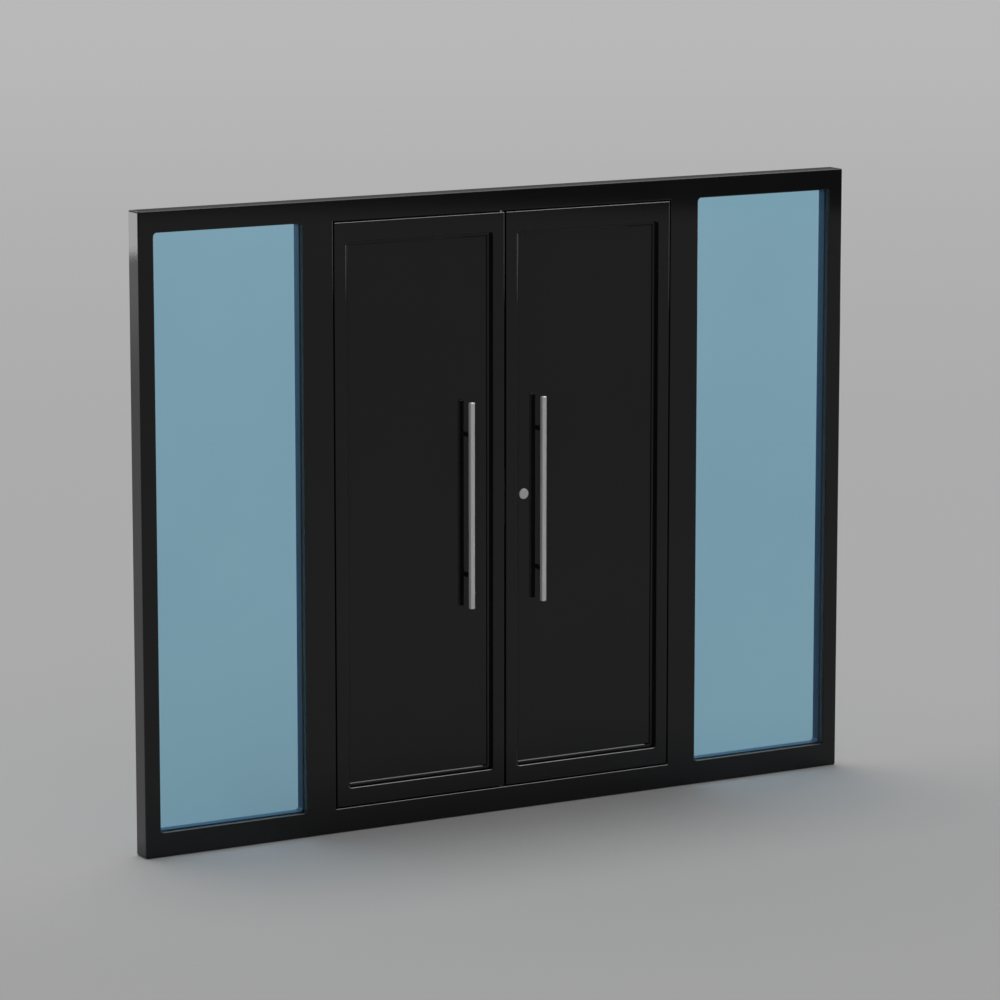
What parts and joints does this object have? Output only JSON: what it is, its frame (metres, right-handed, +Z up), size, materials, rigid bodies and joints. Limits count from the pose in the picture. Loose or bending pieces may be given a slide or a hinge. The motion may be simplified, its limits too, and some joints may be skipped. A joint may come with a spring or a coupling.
{
  "type": "double front door",
  "caption": "Steel double front door set with flush frame, tinted sidelights, panelled leaves on barrel hinges, square pull bars and a round lock.",
  "frame": {"origin": "centre of the flat underside of the sill", "axes": "+X to the right seen from outside, -Y towards the outside, +Z up"},
  "size_m": [3.0656, 0.117, 2.4],
  "materials": {
    "black_steel": "gloss black paint on steel",
    "satin_steel": "satin light grey steel",
    "tinted_glass": "clear glass with a blue tint",
    "black_rubber": "matt black",
    "spacer_plastic": "matt dark grey"
  },
  "bodies": {
    "frame": {"head": "black_steel", "sill": "black_steel", "left_jamb": "black_steel", "right_jamb": "black_steel", "left_mullion": "black_steel", "right_mullion": "black_steel", "left_glass": "tinted_glass", "right_glass": "tinted_glass", "left_spacer": "spacer_plastic", "right_spacer": "spacer_plastic", "left_gasket": "black_rubber", "right_gasket": "black_rubber", "left_glazing_bead": "black_steel", "right_glazing_bead": "black_steel", "left_glazing_stop": "black_steel", "right_glazing_stop": "black_steel", "door_seal": "black_rubber", "left_frame_hinges": "black_steel", "right_frame_hinges": "black_steel"},
    "left_leaf": {"left_top_rail": "black_steel", "left_bottom_rail": "black_steel", "left_hinge_stile": "black_steel", "left_meeting_stile": "black_steel", "left_panel": "black_steel", "left_mouldings": "black_steel", "left_leaf_hinges": "black_steel", "left_pull_bars": "satin_steel", "left_pull_posts": "black_steel", "strike_plate": "satin_steel", "flush_bolts": "satin_steel"},
    "right_leaf": {"right_top_rail": "black_steel", "right_bottom_rail": "black_steel", "right_hinge_stile": "black_steel", "right_meeting_stile": "black_steel", "right_panel": "black_steel", "right_mouldings": "black_steel", "right_leaf_hinges": "black_steel", "right_pull_bars": "satin_steel", "right_pull_posts": "black_steel", "lock_faceplate": "satin_steel", "lock_rosettes": "satin_steel", "thumb_turn": "satin_steel"}
  },
  "joints": [
    {"name": "left_leaf_hinge", "type": "hinge", "parent": "frame", "child": "left_leaf", "pos_m": [-0.73475, 0.024, 1.2], "axis": [0, 0, 1], "range_deg": [0, 100]},
    {"name": "right_leaf_hinge", "type": "hinge", "parent": "frame", "child": "right_leaf", "pos_m": [0.73475, 0.024, 1.2], "axis": [0, 0, -1], "range_deg": [0, 100]}
  ]
}
